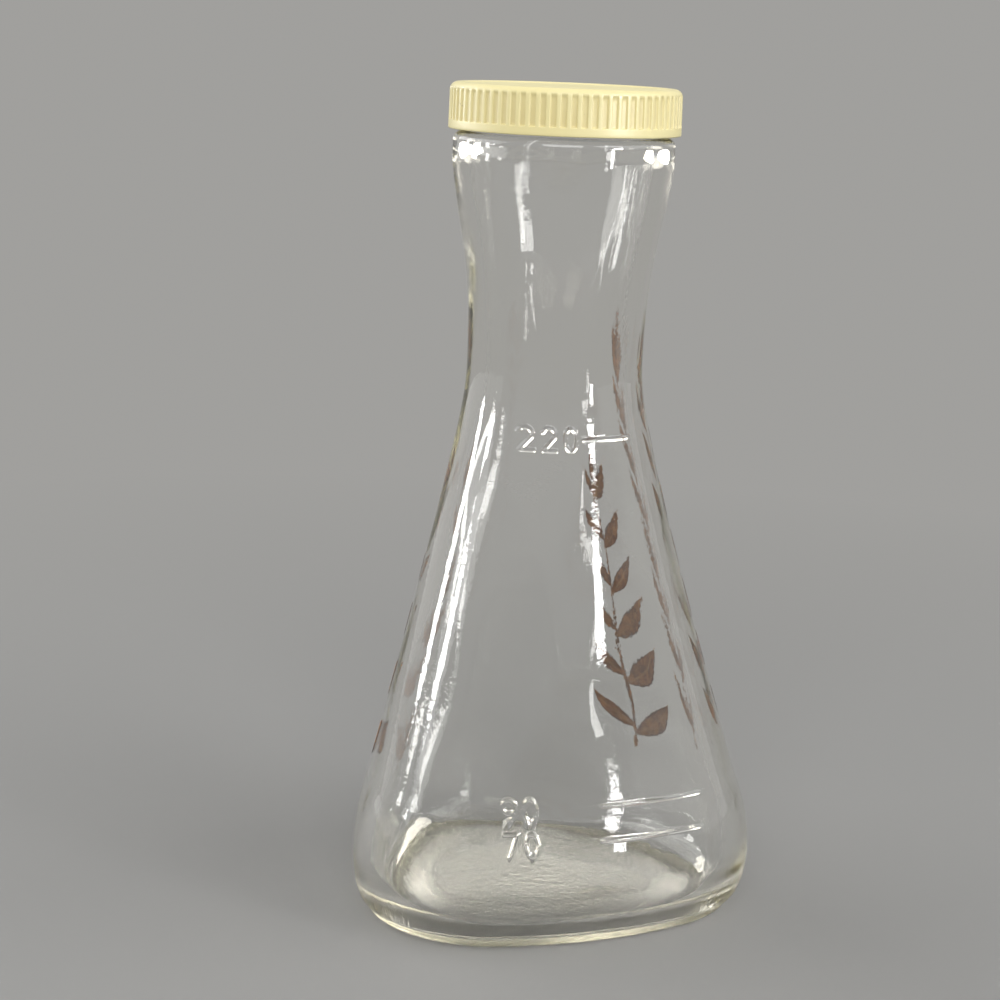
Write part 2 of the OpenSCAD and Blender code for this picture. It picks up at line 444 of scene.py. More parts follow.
def hollow_rings():
    """Bore and hollow, from the mouth down to the inner heel."""
    rings = []
    bore_low = SHOULDER_Z - SHOULDER_R
    for i in range(1, BORE_RINGS + 1):
        rings.append(ring(BORE_D / 2, mix(GLASS_H - LIP_R, bore_low + BORE_END, i / BORE_RINGS)))
    z = bore_low
    while z > FLOOR_T + INNER_HEEL_H:
        settle = smooth((bore_low - z) / INSIDE_SETTLE)
        half = mix(BORE_D / 2, inner_half(z), smooth((bore_low - z) / BORE_BLEND))
        radius = half / BODY_R * reach(ANGLES, corner_share(z))
        rings.append(ring(radius + INSIDE_WAVE_RISE * settle * INSIDE_WAVE(z), z))
        z -= HOLLOW_STEP
    return rings


def floor_rings():
    """Inner heel and floor, in to the middle."""
    rings = []
    for turn in quarter(INNER_HEEL_RINGS):
        z = FLOOR_T + INNER_HEEL_H * (1 - math.sin(turn))
        radius = inner_half(z) / BODY_R * reach(ANGLES, 1)
        rings.append(ring(radius + INSIDE_WAVE_RISE * math.cos(turn) * INSIDE_WAVE(z), z))
    for i in range(1, FLOOR_RINGS):
        t = 1 - i / FLOOR_RINGS
        half = inner_half(np.array(FLOOR_T)) * t
        rings.append(body_ring(half, FLOOR_T + FLOOR_FOLLOW * PUSH_UP * (1 - t * t)))
    return rings


def new_piece(name, points, faces):
    mesh = bpy.data.meshes.new(name)
    mesh.from_pydata(points, [], faces)
    mesh.shade_smooth()
    mesh.validate()
    piece = bpy.data.objects.new(name, mesh)
    bpy.context.scene.collection.objects.link(piece)
    return piece


def skin(name, rings):
    """A closed mesh through rings of points, closed with a fan at each end."""
    count = len(rings[0])
    points = np.concatenate(rings)
    first = points[:count].mean(0)
    last = points[-count:].mean(0)
    points = np.concatenate([points, [first], [last]])
    column = np.arange(count)
    beside = (column + 1) % count
    faces = []
    for k in range(len(rings) - 1):
        low, high = k * count, (k + 1) * count
        faces += np.stack([low + column, low + beside, high + beside, high + column], 1).tolist()
    foot, top, end = len(points) - 2, len(points) - 1, (len(rings) - 1) * count
    faces += [[foot, int(b), int(a)] for a, b in zip(column, beside)]
    faces += [[top, int(end + a), int(end + b)] for a, b in zip(column, beside)]
    return new_piece(name, points.tolist(), faces)


def make_glass():
    outside = base_rings() + side_rings() + finish_rings()
    piece = skin("bottle_glass", outside + hollow_rings() + floor_rings())
    piece.data.materials.append(glass_material())
    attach(piece, "bottle")
    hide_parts("glass_bottle")


# Screw cap

# One rib pitch, from the middle of a groove: share of the pitch and share of the groove's depth
RIB_SHAPE = [
    (0.0, 1.0), (0.12, 1.0), (0.22, 0.99), (0.265, 0.9), (0.295, 0.25), (0.33, 0.06), (0.40, 0.01),
    (0.5, 0.0), (0.60, 0.01), (0.67, 0.06), (0.705, 0.25), (0.735, 0.9), (0.78, 0.99), (0.88, 1.0),
]
# A groove's lower end: millimetres above the plain band and share of its depth
GROOVE_START = [(0, 0.04), (0.05, 0.35), (0.1, 0.8), (0.16, 0.96), (0.3, 1)]
# The sunk panel's edge: millimetres outside its radius and share of its depth
PANEL_EDGE = [(0.5, 0), (0.3, 0.02), (0.15, 0.12), (-0.1, 0.5), (-0.3, 0.88), (-0.5, 0.98), (-0.8, 1)]
GROOVE_SOFTNESS = 0.4
GROOVE_RINGS = 14
EDGE_RINGS = 10
SMALL_ROUND_RINGS = 3
CAP_BORE_STEP = 0.25 * MM
CAP_BORE_TOP = 0.2 * MM
CAP_BORE_FOOT = 0.4 * MM


def groove_share(z):
    """Share of a groove's depth near its upper end."""
    return float(smooth((CAP_TOP_Z - GROOVE_TOP - z) / GROOVE_FADE + GROOVE_SOFTNESS))


def skirt_r(z):
    return mix(CAP_R, CAP_TOP_R, (z - CAP_Z) / (CAP_EDGE_Z - CAP_Z))


def cap_row(radius, z, groove=0, threaded=False):
    """One level of the cap: share of the groove's depth, and whether the thread shows there."""
    return radius, z, groove, threaded


def cap_inside():
    """Underside of the top, from the middle outwards, and the bore, downwards."""
    rows = [cap_row(CAP_BORE_R * t, LINER_TOP_Z) for t in (0.1, 0.3, 0.5, 0.7, 0.85, 0.95)]
    for turn in quarter(SMALL_ROUND_RINGS):
        radius = CAP_BORE_R - CAP_ROOT_R * (1 - math.sin(turn))
        rows.append(cap_row(radius, LINER_TOP_Z - CAP_ROOT_R * (1 - math.cos(turn))))
    z = LINER_TOP_Z - CAP_ROOT_R - CAP_BORE_TOP
    while z > CAP_Z + CAP_BORE_FOOT:
        rows.append(cap_row(CAP_BORE_R, z, threaded=True))
        z -= CAP_BORE_STEP
    return rows


def cap_foot():
    """Rounded lower edge of the skirt, from the bore outwards."""
    rows = []
    for turn in quarter(SMALL_ROUND_RINGS):
        radius = CAP_BORE_R + CAP_FOOT_R * (1 - math.cos(turn))
        rows.append(cap_row(radius, CAP_Z + CAP_FOOT_R * (1 - math.sin(turn))))
    for turn in quarter(SMALL_ROUND_RINGS):
        radius = CAP_R - CAP_FOOT_R * (1 - math.sin(turn))
        rows.append(cap_row(radius, CAP_Z + CAP_FOOT_R * (1 - math.cos(turn))))
    return rows


def cap_skirt():
    """Plain band and grooves, upwards."""
    band_z = CAP_Z + CAP_BAND_H
    places = [(mix(CAP_Z + CAP_FOOT_R, band_z, share), 0) for share in (0.3, 0.6, 0.85, 0.95)]
    places += [(band_z + rise * MM, depth) for rise, depth in GROOVE_START]
    full_z = band_z + GROOVE_START[-1][0] * MM
    for i in range(1, GROOVE_RINGS + 1):
        z = mix(full_z, CAP_EDGE_Z, i / GROOVE_RINGS)
        places.append((z, groove_share(z)))
    return [cap_row(skirt_r(z), z, depth) for z, depth in places]


def cap_top():
    """Rounded top edge and the slightly sunk panel, in to the middle."""
    rows = []
    for turn in quarter(EDGE_RINGS, 1):
        z = CAP_EDGE_Z + CAP_EDGE_R * math.sin(turn)
        rows.append(cap_row(CAP_TOP_R - CAP_EDGE_R * (1 - math.cos(turn)), z, groove_share(z)))
    panel_r = CAP_TOP_R - PANEL_RIM
    rows += [cap_row(panel_r + out * MM, CAP_TOP_Z - PANEL_DEPTH * drop) for out, drop in PANEL_EDGE]
    rows += [cap_row(panel_r * t, CAP_TOP_Z - PANEL_DEPTH) for t in (0.9, 0.7, 0.5, 0.3, 0.15, 0.05)]
    return rows


def cap_thread(angles, z):
    """Height of the cap's own thread, which runs half a lead below the bottle's."""
    found = np.zeros_like(angles)
    first_z = THREAD_Z - THREAD_LEAD / 2
    for lap in range(-1, 3):
        run = (angles - ANGLES[0]) / (2 * math.pi) + lap
        centre = first_z + THREAD_LEAD * run
        low_end = smooth((centre - CAP_Z - CAP_THREAD_ABOVE_EDGE) / CAP_THREAD_FADE_H)
        high_end = smooth((LINER_TOP_Z - CAP_THREAD_BELOW_TOP - centre) / CAP_THREAD_FADE_H)
        ends = low_end * high_end
        found = np.maximum(found, CAP_THREAD_RISE * ends * bead(z, centre, CAP_THREAD_HALF_W))
    return found


def make_cap():
    pitch = 2 * math.pi / RIB_COUNT
    angles = np.array([pitch * (k + at) for k in range(RIB_COUNT) for at, _ in RIB_SHAPE])
    dips = np.array([depth for _ in range(RIB_COUNT) for _, depth in RIB_SHAPE])
    rings, grooves = [], []
    for outline_r, z, groove, threaded in cap_inside() + cap_foot() + cap_skirt() + cap_top():
        radius = outline_r - GROOVE_DEPTH * groove * dips
        if threaded:
            radius = radius - cap_thread(angles, z)
        rings.append(ring(radius, z, angles))
        grooves.append(groove * dips)
    piece = skin("cap_shell", rings)
    depth = piece.data.attributes.new("groove", "FLOAT", "POINT")
    depth.data.foreach_set("value", np.concatenate(grooves + [[0, 0]]).astype(np.float32))
    piece.data.materials.append(cap_material())
    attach(piece, "cap")
    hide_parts("screw_cap")


# Liner: its underside stands this far above the lip, beside the low ring over the lip and at it

LINER_FREE = 0.12 * MM
LINER_CLOSE = 0.03 * MM
LINER_EDGE_R = 0.2 * MM
LINER_RING_SLOPE = 0.3 * MM
LINER_RING_EDGE = 0.8 * MM
LINER_TURN = 3


def make_liner():
    """Foam disc with a soft edge and, on its underside, a low ring over the lip."""
    outer = CAP_BORE_R - LINER_GAP
    free_z = GLASS_H + LINER_FREE
    close_z = GLASS_H + LINER_CLOSE
    rows = [(outer * t, free_z) for t in (0.1, 0.3, 0.5, 0.7, 0.8)]
    rows += [(BORE_D / 2 - LINER_RING_SLOPE, free_z), (BORE_D / 2 + LINER_RING_SLOPE, close_z)]
    rows += [(FINISH_D / 2 - LINER_RING_EDGE, close_z), (FINISH_D / 2, free_z)]
    for turn in quarter(SMALL_ROUND_RINGS):
        radius = outer - LINER_EDGE_R * (1 - math.sin(turn))
        rows.append((radius, free_z + LINER_EDGE_R * (1 - math.cos(turn))))
    for turn in quarter(SMALL_ROUND_RINGS):
        radius = outer - LINER_EDGE_R * (1 - math.cos(turn))
        rows.append((radius, LINER_TOP_Z - LINER_EDGE_R * (1 - math.sin(turn))))
    rows += [(outer * t, LINER_TOP_Z) for t in (0.9, 0.6, 0.3, 0.1)]
    turns = np.radians(np.arange(0, 360, LINER_TURN))
    piece = skin("liner_disc", [ring(radius, z, turns) for radius, z in rows])
    piece.data.materials.append(liner_material())
    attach(piece, "liner")
    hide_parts("cap_liner")


# Printed sprigs

PRINT_LIFT = 0.02 * MM
PRINT_T = 0.05 * MM
# For each sprig: its turn from +X in degrees, mirrored or not, its ends and its pairs of leaves.
# Then, for the lowest and the highest leaves, the lean in degrees, the length and the width.
# The share is the size of the leaves on each side of the stem.
SPRIGS = {
    "sprig_right": {
        "angle": 30, "flip": 1, "low": 26.5 * MM, "high": 84 * MM, "pairs": 6, "lean": (62, 30),
        "length": (13.5 * MM, 6.6 * MM), "width": (4.3 * MM, 2.0 * MM), "share": {-1: 1.4, 1: 0.82},
    },
    "sprig_left": {
        "angle": 151, "flip": -1, "low": 26.5 * MM, "high": 88 * MM, "pairs": 6, "lean": (62, 30),
        "length": (14 * MM, 7 * MM), "width": (6 * MM, 2.6 * MM), "share": {-1: 1.0, 1: 1.0},
    },
    "sprig_tall": {
        "angle": -15, "flip": 1, "low": 34 * MM, "high": 111 * MM, "pairs": 8, "lean": (30, 18),
        "length": (12.5 * MM, 10.5 * MM), "width": (3.2 * MM, 2.6 * MM), "share": {-1: 1.0, 1: 1.0},
    },
}
SPRIG_SWAY = 1.7 * MM
SPRIG_SWAY_TURNS = 1.05
STEM_BELOW = 2.5 * MM
STEM_ABOVE = 1 * MM
STEM_HALF_W = (0.36 * MM, 0.15 * MM)
STEM_STEPS = 60
LEAF_STEPS = 44
LEAF_TEETH = 9
LEAF_TOOTH = 0.13
LEAF_BELLY = 0.82
LEAF_POINT = 1.1
LEAF_STALK_HALF_W = 0.12 * MM
LEAF_BEND = 0.4
TOP_LEAF_LEAN = math.radians(2)
TOP_LEAF_WIDTH = 0.8
PAIR_STAGGER = 0.8 * MM
PAIR_LOW = 1.5 * MM
PAIR_HIGH = 4 * MM
PAIR_SPACING = 0.96
SPRIG_SEED = 21
LEAN_SPREAD = 4
LENGTH_SPREAD = (0.94, 1.06)
WIDTH_SPREAD = (0.9, 1.1)


def on_side(side_angle, across, z):
    """Turn round the axis of the points that lie `across` beside the middle of a side, at heights z."""
    angle = np.full_like(across, side_angle)
    for _ in range(8):
        angle = side_angle + np.arcsin(across / outer_radius(angle, z))
    return angle


def lay_print(side_angle, across, z, lift):
    angle = on_side(side_angle, across, z)
    radius = outer_radius(angle, z) + lift
    return np.stack([radius * np.cos(angle), AXIS_Y + radius * np.sin(angle), z], -1)


def strip_patch(centre_x, centre_z, slope_x, slope_z, half_w, rows_across=4):
    """Grid of points on a curved strip, from its middle line, direction across and half width."""
    share = np.linspace(-1, 1, 2 * rows_across + 1)
    across = centre_x[:, None] + slope_x[:, None] * half_w[:, None] * share
    z = centre_z[:, None] + slope_z[:, None] * half_w[:, None] * share
    return across, z


def stem_across(sprig, z):
    along = (z - sprig["low"]) / (sprig["high"] - sprig["low"])
    return -SPRIG_SWAY * np.cos(math.pi * along * SPRIG_SWAY_TURNS)


def stem_patch(sprig):
    z = np.linspace(sprig["low"] - STEM_BELOW, sprig["high"] + STEM_ABOVE, STEM_STEPS + 1)
    half_w = np.linspace(*STEM_HALF_W, STEM_STEPS + 1)
    return strip_patch(stem_across(sprig, z), z, np.ones_like(z), np.zeros_like(z), half_w, 1)


def leaf_patch(x, z, lean, length, width, bend):
    """A pointed leaf with a faintly toothed edge.

    Its midrib starts at x, z, leans off the vertical and bends back towards it.
    """
    t = np.linspace(0, 1, LEAF_STEPS + 1)
    turn = lean - bend * t
    run_x = np.concatenate([[0], np.cumsum(np.sin(turn[:-1]))]) / LEAF_STEPS * length
    run_z = np.concatenate([[0], np.cumsum(np.cos(turn[:-1]))]) / LEAF_STEPS * length
    teeth = 1 - LEAF_TOOTH * (1 - (t * LEAF_TEETH) % 1)
    blade = np.sin(math.pi * t**LEAF_BELLY) ** LEAF_POINT
    half_w = width / 2 * blade * teeth + LEAF_STALK_HALF_W * (1 - t)
    return strip_patch(x + run_x, z + run_z, np.cos(turn), -np.sin(turn), half_w)


def sprig_patches(sprig):
    """Leaves in slightly staggered pairs, smaller towards the top, and one leaf at the end."""
    rng = random.Random(SPRIG_SEED + sprig["flip"])
    patches = [stem_patch(sprig)]
    for pair in range(sprig["pairs"]):
        share = pair / (sprig["pairs"] - 1)
        pair_z = mix(sprig["low"] + PAIR_LOW, sprig["high"] - PAIR_HIGH, share**PAIR_SPACING)
        for side in (-1, 1):
            z = pair_z + side * sprig["flip"] * PAIR_STAGGER
            spread = rng.uniform(-LEAN_SPREAD, LEAN_SPREAD)
            lean = side * math.radians(mix(*sprig["lean"], share) + spread)
            size = sprig["share"][side]
            length = mix(*sprig["length"], share) * size * rng.uniform(*LENGTH_SPREAD)
            width = mix(*sprig["width"], share) * size * rng.uniform(*WIDTH_SPREAD)
            x = float(stem_across(sprig, z))
            patches.append(leaf_patch(x, z, lean, length, width, LEAF_BEND * lean))
    top_x = float(stem_across(sprig, sprig["high"]))
    length = sprig["length"][1]
    width = sprig["width"][1] * TOP_LEAF_WIDTH
    patches.append(leaf_patch(top_x, sprig["high"], TOP_LEAF_LEAN, length, width, 0.0))
    return patches


def patch_faces(start, rows, columns, flip):
    """Faces of a thin closed sheet: its back, its front and the walls round its edge."""
    size = rows * columns
    faces = []

    def add(face):
        faces.append(face if flip > 0 else face[::-1])

    for i in range(rows - 1):
        for j in range(columns - 1):
            a = start + i * columns + j
            b, c, d = a + 1, a + columns + 1, a + columns
            add([a, d, c, b])
            add([a + size, b + size, c + size, d + size])
    rim = [start + j for j in range(columns)]
    rim += [start + i * columns + columns - 1 for i in range(1, rows)]
    rim += [start + (rows - 1) * columns + j for j in range(columns - 2, -1, -1)]
    rim += [start + i * columns for i in range(rows - 2, 0, -1)]
    for a, b in zip(rim, rim[1:] + rim[:1]):
        add([a, b, b + size, a + size])
    return faces


def make_sprig(name):
    sprig = SPRIGS[name]
    flip = sprig["flip"]
    side_angle = math.radians(sprig["angle"])
    points, faces, texture = [], [], []
    for across, z in sprig_patches(sprig):
        rows, columns = across.shape
        start = len(points)
        along = np.linspace(0, 1, rows)[:, None] * np.ones((1, columns))
        aside = np.linspace(0, 1, columns)[None, :] * np.ones((rows, 1))
        for lift in (PRINT_LIFT, PRINT_LIFT + PRINT_T):
            points += lay_print(side_angle, across * flip, z, lift).reshape(-1, 3).tolist()
            texture += np.stack([along, aside], -1).reshape(-1, 2).tolist()
        faces += patch_faces(start, rows, columns, flip)
    piece = new_piece(name, points, faces)
    layer = piece.data.uv_layers.new(name="along_leaf")
    for loop in piece.data.loops:
        layer.data[loop.index].uv = texture[loop.vertex_index]
    piece.data.materials.append(print_material())
    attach(piece, "bottle")


# Materials

class Look:
    """A material with its shader and short ways to add nodes."""

    def __init__(self, name):
        self.material = bpy.data.materials.new(name)
        self.material.use_nodes = True
        self.tree = self.material.node_tree
        self.shader = self.tree.nodes["Principled BSDF"]
        self.output = self.tree.nodes["Material Output"]
        self.place = self.add("ShaderNodeTexCoord").outputs["Object"]

    def add(self, kind, **settings):
        node = self.tree.nodes.new(kind)
        for key, value in settings.items():
            setattr(node, key, value)
        return node

    def link(self, source, target):
        self.tree.links.new(source, target)

    def set(self, name, value):
        if isinstance(value, bpy.types.NodeSocket):
            self.link(value, self.shader.inputs[name])
        else:
            self.shader.inputs[name].default_value = value

    def parts(self, vector):
        """The three parts of a vector, as outputs X, Y and Z."""
        node = self.add("ShaderNodeSeparateXYZ")
        self.link(vector, node.inputs["Vector"])
        return node.outputs

    def noise(self, scale, detail=3.0, roughness=0.5, stretch=None):
        node = self.add("ShaderNodeTexNoise")
        node.inputs["Scale"].default_value = scale
        node.inputs["Detail"].default_value = detail
        node.inputs["Roughness"].default_value = roughness
        source = self.place
        if stretch:
            mapping = self.add("ShaderNodeMapping")
            mapping.inputs["Scale"].default_value = stretch
            self.link(self.place, mapping.inputs["Vector"])
            source = mapping.outputs["Vector"]
        self.link(source, node.inputs["Vector"])
        return node.outputs["Fac"]

    def ramp(self, value, low, high, to_low=0.0, to_high=1.0):
        node = self.add("ShaderNodeMapRange")
        node.inputs["From Min"].default_value = low
        node.inputs["From Max"].default_value = high
        node.inputs["To Min"].default_value = to_low
        node.inputs["To Max"].default_value = to_high
        self.link(value, node.inputs["Value"])
        return node.outputs["Result"]

    def math(self, kind, a, b=0.0):
        node = self.add("ShaderNodeMath", operation=kind)
        for socket, value in zip(node.inputs, (a, b)):
            if isinstance(value, (int, float)):
                socket.default_value = value
            else:
                self.link(value, socket)
        return node.outputs[0]

    def blend(self, factor, a, b):
        node = self.add("ShaderNodeMix", data_type="RGBA")
        self.link(factor, node.inputs["Factor"])
        for socket, value in ((node.inputs["A"], a), (node.inputs["B"], b)):
            if isinstance(value, tuple):
                socket.default_value = (*value, 1)
            else:
                self.link(value, socket)
        return node.outputs["Result"]

    def bump(self, height, distance, strength=1.0, onto=None):
        node = self.add("ShaderNodeBump")
        node.inputs["Distance"].default_value = distance
        node.inputs["Strength"].default_value = strength
        self.link(height, node.inputs["Height"])
        if onto:
            self.link(onto, node.inputs["Normal"])
        return node.outputs["Normal"]


# Glass: the underside is worn up to the first of these heights and clear from the second on
GLASS_IOR = 1.52
UNDERSIDE = (2.9 * MM, 3.3 * MM)
BASE_FROST = 0.12
SCUFF_FROST = 0.22
RIPPLE_H = 0.12 * MM
CHILL_H = 0.032 * MM
STIPPLE_H = 0.2 * MM
GLASS_TINT = (0.68, 0.635, 0.28)
GLASS_TINT_DENSITY = 9.0


def glass_material():
    """Clear glass with faint ripples, a few scuffs and a worn, stippled underside."""
    look = Look("clear_glass")
    look.set("Base Color", (1.0, 1.0, 1.0, 1))
    look.set("Transmission Weight", 1.0)
    look.set("IOR", GLASS_IOR)
    scuff = look.ramp(look.noise(420, 4, 0.65), 0.6, 0.78)
    scuff_area = look.ramp(look.noise(38, 2), 0.48, 0.62)
    under = look.ramp(look.parts(look.place)["Z"], *UNDERSIDE, 1.0, 0.0)
    worn = look.math("MULTIPLY", look.math("MULTIPLY", scuff, scuff_area), SCUFF_FROST)
    look.set("Roughness", look.math("ADD", worn, look.math("MULTIPLY", under, BASE_FROST)))
    ripple = look.bump(look.noise(70, 2, 0.4, (1, 1, 0.45)), RIPPLE_H)
    chill_area = look.ramp(look.noise(55, 2), 0.42, 0.62, 0.15, 1.0)
    chill = look.math("MULTIPLY", look.noise(480, 3, 0.6), chill_area)
    chilled = look.bump(chill, CHILL_H, onto=ripple)
    stipple = look.math("MULTIPLY", look.noise(1000, 3, 0.7), under)
    look.set("Normal", look.bump(stipple, STIPPLE_H, onto=chilled))
    absorb = look.add("ShaderNodeVolumeAbsorption")
    absorb.inputs["Color"].default_value = (*GLASS_TINT, 1)
    absorb.inputs["Density"].default_value = GLASS_TINT_DENSITY
    look.link(absorb.outputs["Volume"], look.output.inputs["Volume"])
    return look.material


CREAM = (0.88, 0.79, 0.43)
CREAM_DEEP = (0.85, 0.75, 0.38)
# Tan painted into the grooves as shade
GROOVE_SHADE_TAN = (0.62, 0.51, 0.25)
SPECK_BROWN = (0.24, 0.18, 0.09)


def cap_material():
    """Cream plastic, a little cloudy, with painted shade in the grooves and a few specks."""
    look = Look("cap_plastic")
    body = look.blend(look.ramp(look.noise(60, 4), 0.3, 0.7), CREAM, CREAM_DEEP)
    depth = look.add("ShaderNodeAttribute", attribute_name="groove").outputs["Fac"]
    # Painted shade: the grooves turn unevenly tan in step with their depth
    painted_groove_shade = look.math("MULTIPLY", depth, look.ramp(look.noise(150, 4), 0.3, 0.7, 0.1, 0.45))
    body = look.blend(painted_groove_shade, body, GROOVE_SHADE_TAN)
    specks = look.ramp(look.noise(1500, 2, 0.7), 0.70, 0.76)
    speck_area = look.ramp(look.noise(90, 2), 0.5, 0.65)
    specks = look.math("MULTIPLY", look.math("MULTIPLY", specks, speck_area), 0.8)
    look.set("Base Color", look.blend(specks, body, SPECK_BROWN))
    look.set("Roughness", look.ramp(look.noise(200, 4), 0.3, 0.7, 0.34, 0.5))
    look.set("Normal", look.bump(look.noise(1400, 3), 0.02 * MM, 0.6))
    return look.material


FOAM_LIGHT = (0.84, 0.82, 0.75)
FOAM_DARK = (0.74, 0.71, 0.62)


def liner_material():
    look = Look("liner_foam")
    look.set("Base Color", look.blend(look.ramp(look.noise(500, 5), 0.3, 0.7), FOAM_LIGHT, FOAM_DARK))
    look.set("Roughness", look.ramp(look.noise(900, 3), 0.3, 0.7, 0.6, 0.85))
    look.set("Normal", look.bump(look.noise(2200, 3), 0.03 * MM))
    return look.material


PRINT_DARK = (0.10, 0.043, 0.018)
PRINT_LIGHT = (0.36, 0.172, 0.058)
PRINT_VEIN = (0.44, 0.29, 0.14)
PRINT_RIM = (0.06, 0.024, 0.014)
VEIN_PAIRS = 9.0
VEIN_SLANT = 6.0


def print_material():
    """Fired-on brown print: mottled, with a lighter midrib and side veins and a dark rim."""
    look = Look("printed_sprig")
    leaf = look.parts(look.add("ShaderNodeUVMap", uv_map="along_leaf").outputs["UV"])
    aside = look.math("ABSOLUTE", look.math("SUBTRACT", leaf["Y"], 0.5))
    rib = look.ramp(aside, 0.0, 0.07, 1.0, 0.0)
    slant = look.math("MULTIPLY", aside, VEIN_SLANT)
    along = look.math("SUBTRACT", look.math("MULTIPLY", leaf["X"], VEIN_PAIRS), slant)
    vein = look.ramp(look.math("PINGPONG", along, 0.5), 0.0, 0.13, 0.6, 0.0)
    light = look.math("MAXIMUM", rib, vein)
    mottle = look.ramp(look.noise(520, 4, 0.6), 0.32, 0.68)
    body = look.blend(mottle, PRINT_DARK, PRINT_LIGHT)
    body = look.blend(look.math("MULTIPLY", light, 0.5), body, PRINT_VEIN)
    look.set("Base Color", look.blend(look.ramp(aside, 0.40, 0.48), body, PRINT_RIM))
    look.set("Subsurface Weight", 0.15)
    look.set("Subsurface Radius", (1.0, 0.55, 0.3))
    look.set("Subsurface Scale", 0.4 * MM)
    look.set("Roughness", look.ramp(look.noise(800, 3), 0.3, 0.7, 0.35, 0.6))
    look.set("Normal", look.bump(look.noise(2500, 2), 0.01 * MM))
    return look.material


# Stage; lengths from here on are in metres

FLOOR_DROP = 0.2 * MM
SWEEP_R = 2.4
SWEEP_CURVE = 0.5
SWEEP_CURVE_RINGS = 16
SWEEP_TURN = 5
SWEEP_LIT = (0.262, 0.258, 0.248)
SWEEP_FAR = (0.355, 0.350, 0.338)
SWEEP_FADE = (0.12, 0.45)


def make_stage():
    """A pale round sweep: a floor that curves up into a low wall all round."""
    rows = [(SWEEP_R * t, 0) for t in (0.02, 0.1, 0.3, 0.6, 0.85, 1.0)]
    for turn in quarter(SWEEP_CURVE_RINGS, 1):
        rows.append((SWEEP_R + SWEEP_CURVE * math.sin(turn), SWEEP_CURVE * (1 - math.cos(turn))))
    turns = np.radians(np.arange(0, 360, SWEEP_TURN))
    points, faces = [], []
    for radius, z in rows:
        points += [(radius * math.cos(t), radius * math.sin(t), z - FLOOR_DROP) for t in turns]
    count = len(turns)
    for k in range(len(rows) - 1):
        for i in range(count):
            j = (i + 1) % count
            faces.append([k * count + i, (k + 1) * count + i, (k + 1) * count + j, k * count + j])
    faces.append(list(range(count)))
    sweep = new_piece("pale_sweep", points, faces)
    sweep.data.materials.append(sweep_material())


def sweep_material():
    """Pale grey that takes the shadow near the bottle and keeps one tone far from it."""
    look = Look("pale_sweep")
    look.set("Base Color", (*SWEEP_LIT, 1))
    look.set("Roughness", 0.9)
    tone = look.add("ShaderNodeEmission")
    tone.inputs["Color"].default_value = (*SWEEP_FAR, 1)
    place = look.parts(look.place)
    squares = [look.math("POWER", place[axis], 2) for axis in ("X", "Y")]
    far = look.ramp(look.math("SQRT", look.math("ADD", *squares)), *SWEEP_FADE)
    ray = look.add("ShaderNodeLightPath")
    seen = look.math("MAXIMUM", ray.outputs["Is Camera Ray"], ray.outputs["Is Glossy Ray"])
    seen = look.math("MAXIMUM", seen, ray.outputs["Is Transmission Ray"])
    both = look.add("ShaderNodeMixShader")
    look.link(look.math("MULTIPLY", far, seen), both.inputs["Fac"])
    look.link(look.shader.outputs["BSDF"], both.inputs[1])
    look.link(tone.outputs["Emission"], both.inputs[2])
    look.link(both.outputs["Shader"], look.output.inputs["Surface"])
    return look.material


def round_bottle(azimuth, distance, z):
    """A place round the bottle; azimuth 0 is straight in front and grows towards +X, in degrees."""
    turn = math.radians(azimuth)
    return Vector((distance * math.sin(turn), AXIS_Y - distance * math.cos(turn), z))


AIM_Z = 0.08


def add_light(name, place, size, radiance, aim_z=AIM_Z, see_through=True, falls=True):
    """A soft rectangular light that faces the bottle and that the camera doesn't show.

    One that can't be seen through glass still lights it. One that doesn't fall lights no surface and
    is only a bright shape for the glass to show.
    """
    data = bpy.data.lights.new(name, "AREA")
    data.shape = "RECTANGLE"
    data.size, data.size_y = size
    data.energy = radiance * math.pi * size[0] * size[1]
    lamp = bpy.data.objects.new(name, data)
    bpy.context.scene.collection.objects.link(lamp)
    lamp.location = place
    aim = Vector((0, AXIS_Y, aim_z)) - lamp.location
    lamp.rotation_euler = aim.to_track_quat("-Z", "Y").to_euler()
    lamp.visible_camera = False
    lamp.visible_transmission = see_through
    lamp.visible_diffuse = falls
    return lamp


def add_strip(name, azimuth, distance, low, high, width, radiance):
    """A narrow upright light, whose streak shows on the glass."""
    middle = (low + high) / 2
    place = round_bottle(azimuth, distance, middle)
    add_light(name, place, (width, high - low), radiance, aim_z=middle, falls=False)


BACK_DISTANCE = 1.3
BACK_WARMTH = (1.0, 0.955, 0.86)


def add_back_light(name, azimuth, z, size, radiance):
    """A warm bright oval behind the bottle that only the thick glass of the base and the edges shows."""
    place = round_bottle(azimuth, BACK_DISTANCE, z)
    lamp = add_light(name, place, size, radiance, falls=False)
    lamp.data.shape = "ELLIPSE"
    lamp.data.color = BACK_WARMTH
    lamp.visible_glossy = False


